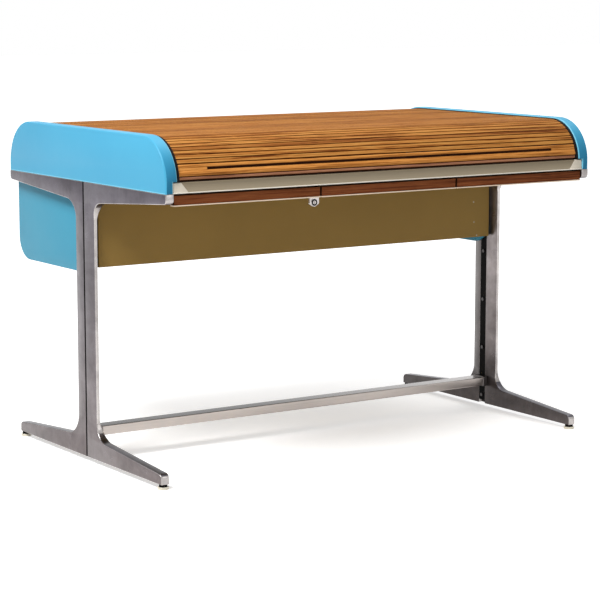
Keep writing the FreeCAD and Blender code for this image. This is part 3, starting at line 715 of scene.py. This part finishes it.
def shape_lead_rail():
    """Front bar of the tambour: a rounded lip under the finger groove and a set-back lower edge."""
    groove_floor = GROOVE_HALF_LENGTH - GROOVE_END_SLOPE
    stations = [(-SLAT_HALF_LENGTH, PLAIN), (-GROOVE_HALF_LENGTH, PLAIN), (-groove_floor, GROOVED),
                (groove_floor, GROOVED), (GROOVE_HALF_LENGTH, PLAIN), (SLAT_HALF_LENGTH, PLAIN)]
    shape = bmesh.new()
    rings = []
    for x, column in stations:
        ring = [(x, *path_point(point[0] / MM_PER_METRE, point[column] / MM_PER_METRE))
                for point in LEAD_PROFILE]
        rings.append([shape.verts.new(place) for place in ring])
    columns = [column for _, column in stations]
    count = len(LEAD_PROFILE)
    for band, (before, after) in enumerate(zip(rings, rings[1:])):
        for index in range(count):
            other = (index + 1) % count
            face = shape.faces.new((before[index], before[other], after[other], after[index]))
            face.material_index = lead_finish(index, columns[band:band + 2])
    shape.faces.new(rings[0])
    shape.faces.new(rings[-1][::-1])
    bmesh.ops.recalc_face_normals(shape, faces=shape.faces)
    mesh = mesh_from(shape, "lead_rail_shaped", LEAD_WOODS)
    smooth_below(mesh, LEAD_SMOOTH_ANGLE)
    piece = piece_from_mesh("lead_rail_shaped", mesh, "tambour_lead_rail")
    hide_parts("tambour_lead_rail")


def strips():
    """Name, first slat and number of slats of each strip."""
    end = SLATS_PER_BEND + SLATS_ON_TOP
    groups = [("front", SLATS_OF_LEAD_RAIL, SLATS_PER_BEND, SLATS_PER_FRONT_STRIP),
              ("rear", SLATS_ON_TOP, end, SLATS_PER_REAR_STRIP),
              ("back", end, end + SLATS_PER_BEND, SLATS_PER_REAR_STRIP)]
    layout = [("tambour_strip_top", SLATS_PER_BEND, SLATS_ON_TOP - SLATS_PER_BEND)]
    for label, first, last, size in groups:
        for number, start in enumerate(range(first, last, size), 1):
            layout.append((f"tambour_strip_{label}_{number}", start, min(size, last - start)))
    return layout


# Rivets at the right end of the bin's front panel, in metres

RIVET_PLACES = [(0.57, 0.6), (0.572, 0.543), (0.582, 0.505)]
RIVET_FACE_Y = -0.0279
RIVET_RADIUS = 0.0026
RIVET_HEIGHT = 0.001


def rivet_tree():
    """Tree that sets a low domed rivet on each point of a mesh, facing -Y."""
    tree, given = new_tree("rivets", [("Geometry", "Geometry"), ("Head Radius", "Float"),
                                      ("Head Height", "Float"), ("Metal", "Material")])
    ball = add(tree, "GeometryNodeMeshUVSphere", Segments=14, Rings=8, Radius=1.0).outputs[0]
    size = joined(tree, given["Head Radius"], given["Head Height"], given["Head Radius"])
    head = add(tree, "GeometryNodeTransform", Geometry=ball, Scale=size).outputs[0]
    head = add(tree, "GeometryNodeSetShadeSmooth", Geometry=head).outputs[0]
    laid = add(tree, "GeometryNodeInstanceOnPoints", Points=given["Geometry"],
               Instance=head).outputs[0]
    finish_tree(tree, laid, given["Metal"])
    return tree


def set_rivets():
    name = "bin_panel_rivets"
    places = bpy.data.meshes.new(name + "_source")
    places.from_pydata([(x, RIVET_FACE_Y, z) for x, z in RIVET_PLACES], [], [])
    mesh = mesh_from_tree(rivet_tree(), name, places, {
        "Head Radius": RIVET_RADIUS, "Head Height": RIVET_HEIGHT, "Metal": rivet_metal})
    piece_from_mesh(name, mesh, "frame")


# The studio

FLOOR_HALF_SIZE = 30.0
FADE_FROM = 0.8
FADE_TO = 2.8
GLOW_NEAR = 0.5
GLOW_FAR = 1.0
SURROUND_LIGHT = 0.3
SURROUND_SEEN = 1.0

# Name, place, point aimed at, diameter in metres and power in watts
LAMPS = [
    ("key_light", (-2.6, -0.9, 3.4), (0.0, 0.0, 0.6), 1.7, 180.0),
    ("top_light", (1.5, 0.4, 3.4), (0.4, 0.0, 0.7), 2.2, 46.0),
    ("front_light", (1.6, -4.4, 1.8), (0.0, 0.0, 0.6), 2.4, 18.0),
]

CAMERA_PLACE = (-3.09, -4.668, 1.1914)
CAMERA_AZIMUTH = math.radians(-33.509)
CAMERA_ELEVATION = math.radians(8.415)
CAMERA_LENS = 125.68
CAMERA_SENSOR = 36.0
CAMERA_REACH = 200.0


def backdrop_material():
    """Pale floor that turns white away from the object and keeps the object's shadow."""
    material, tree, shader = finish_named("pale_floor")
    shader.inputs["Base Color"].default_value = colour(0.8, 0.8, 0.8)
    shader.inputs["Roughness"].default_value = 0.9
    shader.inputs["Specular IOR Level"].default_value = 0.1
    shader.inputs["Emission Color"].default_value = WHITE
    away = add(tree, "ShaderNodeVectorMath", {"operation": "LENGTH"})
    tree.links.new(add(tree, "ShaderNodeTexCoord").outputs["Object"], away.inputs[0])
    fade = add(tree, "ShaderNodeMapRange", {"interpolation_type": "SMOOTHSTEP"},
               Value=away.outputs["Value"], From_Min=FADE_FROM, From_Max=FADE_TO,
               To_Min=GLOW_NEAR, To_Max=GLOW_FAR).outputs["Result"]
    glow = calc(tree, "MULTIPLY", seen_directly(tree), fade)
    connect(tree, shader.inputs["Emission Strength"], glow)
    return material


def build_studio():
    shape = bmesh.new()
    bmesh.ops.create_grid(shape, x_segments=2, y_segments=2, size=FLOOR_HALF_SIZE)
    mesh = mesh_from(shape, "studio_floor", [backdrop_material()])
    floor = new_object("studio_floor", mesh)

    world = bpy.data.worlds.new("studio")
    bpy.context.scene.world = world
    world.use_nodes = True
    tree = world.node_tree
    surround = tree.nodes["Background"]
    surround.inputs["Color"].default_value = WHITE
    strength = spread(tree, seen_directly(tree), SURROUND_LIGHT, SURROUND_SEEN)
    connect(tree, surround.inputs["Strength"], strength)

    for name, place, target, size, power in LAMPS:
        soft_light(name, place, target, size, power)


def look_along(item, direction):
    item.rotation_mode = "QUATERNION"
    item.rotation_quaternion = direction.to_track_quat("-Z", "Y")


def soft_light(name, place, target, size, power):
    lamp = bpy.data.lights.new(name, "AREA")
    lamp.shape = "DISK"
    lamp.size = size
    lamp.energy = power
    light = new_object(name, lamp)
    light.location = place
    look_along(light, Vector(target) - Vector(place))


def build_camera():
    lens = bpy.data.cameras.new("camera")
    lens.sensor_width = CAMERA_SENSOR
    lens.lens = CAMERA_LENS
    lens.clip_end = CAMERA_REACH
    camera = new_object("camera", lens)
    camera.location = CAMERA_PLACE
    level = math.cos(CAMERA_ELEVATION)
    look_along(camera, Vector((-math.sin(CAMERA_AZIMUTH) * level, math.cos(CAMERA_AZIMUTH) * level,
                               -math.sin(CAMERA_ELEVATION))))
    bpy.context.scene.camera = camera


# Building the desk; lengths in metres, SECOND and THIRD number the materials of a piece

SECOND, THIRD = 1, 2
CASTING_METALS = [leg_metal, leg_rim_highlight, foot_top_dark_reflection, black_enamel, inner_leg_shade_metal,
                  inner_front_shade_metal]
RIM_HIGHLIGHT, FOOT_TOP, SEAM, INNER_REAR, INNER_FRONT = range(1, len(CASTING_METALS))
CASTING_WELD = 0.0003
SEAM_HALF_WIDTH = 0.0034
SEAM_FROM_X = 0.634
FOOT_TOPS_BELOW = 0.2
BIN_FRONT_BEFORE = -0.0215
PANEL_EDGE_ANGLE = 50
LIP_HEIGHT = 0.0026
LOCK_X = -0.228
LOCK_Z = 0.675
LOCK_RECESS_RADIUS = 0.0086
LOCK_FRONT_DEPTH = 0.0012

# How far a face has to turn towards a direction, as that part of its normal
FOOT_TOP_UPWARD = 0.6
RAIL_TOP_UPWARD = 0.8
LEG_SIDEWAYS = 0.7
LEG_FORWARD = 0.7
RIM_SIDEWAYS = 0.2
TOWARDS_GAP = 0.4


def casting_finish(face):
    """Black in the seam, a painted dark reflection on the tops of the feet, painted shade on inner
    faces and a painted highlight on what faces the front."""
    if abs(face.center.y) < SEAM_HALF_WIDTH and abs(face.center.x) > SEAM_FROM_X:
        return SEAM
    if face.normal.z > FOOT_TOP_UPWARD and face.center.z < FOOT_TOPS_BELOW:
        return FOOT_TOP
    if abs(face.normal.x) > LEG_SIDEWAYS and face.normal.x * face.center.x < 0:
        return INNER_REAR if face.center.y > 0 else INNER_FRONT
    return RIM_HIGHLIGHT if face.normal.y < -LEG_FORWARD else None


# Upward faces of the foot rail take the painted reflection
def facing_up(face):
    return SECOND if face.normal.z > RAIL_TOP_UPWARD else None


def dress_legs():
    for row in ("front", "rear"):
        for side in ("left", "right"):
            soften_edges(f"leg_casting_{row}_{side}", "frame", CASTING_METALS,
                         width=0.0016, segments=3, rim=RIM_HIGHLIGHT, pick=casting_finish,
                         weld=CASTING_WELD)
            soften_edges(f"glide_pad_{row}_{side}", f"glide_{row}_{side}",
                         [ivory_plastic], width=0.0018, segments=3)
    soften_edges("foot_rail", "frame", [rail_metal, rail_top_reflection_metal],
                 width=0.0004, segments=2, pick=facing_up)


def dress_tambour():
    tree = slat_tree()
    for node, first, count in strips():
        lay_slats(tree, node, first, count)
        lay_canvas(node, first, count)
    shape_lead_rail()


# Painted shade: the bin end panels' front faces take the dark casting metal, as the shaded gap
# beside the legs
def at_bin_front(face):
    return SECOND if face.center.y < BIN_FRONT_BEFORE else None


# Rim faces of the end panels take the painted-shade blue
def on_rim(face):
    return SECOND if abs(face.normal.x) < RIM_SIDEWAYS else None


def dress_panels():
    for side in ("left", "right"):
        soften_edges(f"end_panel_{side}", "frame",
                     [blue_paint, rim_shade_paint, corner_highlight_paint], width=0.0024, segments=3, rim=THIRD,
                     angle=PANEL_EDGE_ANGLE, pick=on_rim)
        soften_edges(f"bin_end_panel_{side}", "frame", [bin_paint, socket_metal],
                     width=0.0022, segments=3, angle=PANEL_EDGE_ANGLE, pick=at_bin_front)


# Painted shade: drawer-front faces turned to the gaps beside and above them take the near-black
# wood
def beside_gap(face):
    faces_gap = abs(face.normal.x) > TOWARDS_GAP or face.normal.z > TOWARDS_GAP
    return SECOND if faces_gap else None


def dress_front_edge():
    lip_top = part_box("front_edge_rail")[0][2] + LIP_HEIGHT

    def on_lip(face):
        return SECOND if face.center.z < lip_top else None

    soften_edges("front_edge_rail", "frame", [edge_moulding, lip_moulding],
                 width=0.0005, segments=2, pick=on_lip, only_along_x=True)
    for side in ("left", "right"):
        soften_edges(f"edge_rail_cap_{side}", "frame", [cap_moulding, lip_moulding],
                     width=0.0005, segments=2, pick=on_lip)
    for number in (1, 2, 3):
        soften_edges(f"drawer_front_{number}", f"drawer_{number}",
                     [drawer_wood, painted_shade_wood], width=0.0022, segments=3, pick=beside_gap)


def dress_lock():
    recess_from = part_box("lock_housing")[0][1] + LOCK_FRONT_DEPTH

    # Painted shade: the faces inside the lock's recess turn black
    def in_recess(face):
        away = math.hypot(face.center.x - LOCK_X, face.center.z - LOCK_Z)
        return SECOND if away < LOCK_RECESS_RADIUS and face.center.y > recess_from else None

    soften_edges("lock_housing", "drawer_1", [lock_metal, black_plastic],
                 width=0.0009, segments=3, pick=in_recess)


bpy.context.scene.view_settings.view_transform = "Standard"
finish_cad_nodes()
dress_legs()
dress_panels()
dress_front_edge()
dress_lock()
dress_tambour()
set_rivets()
build_studio()
build_camera()
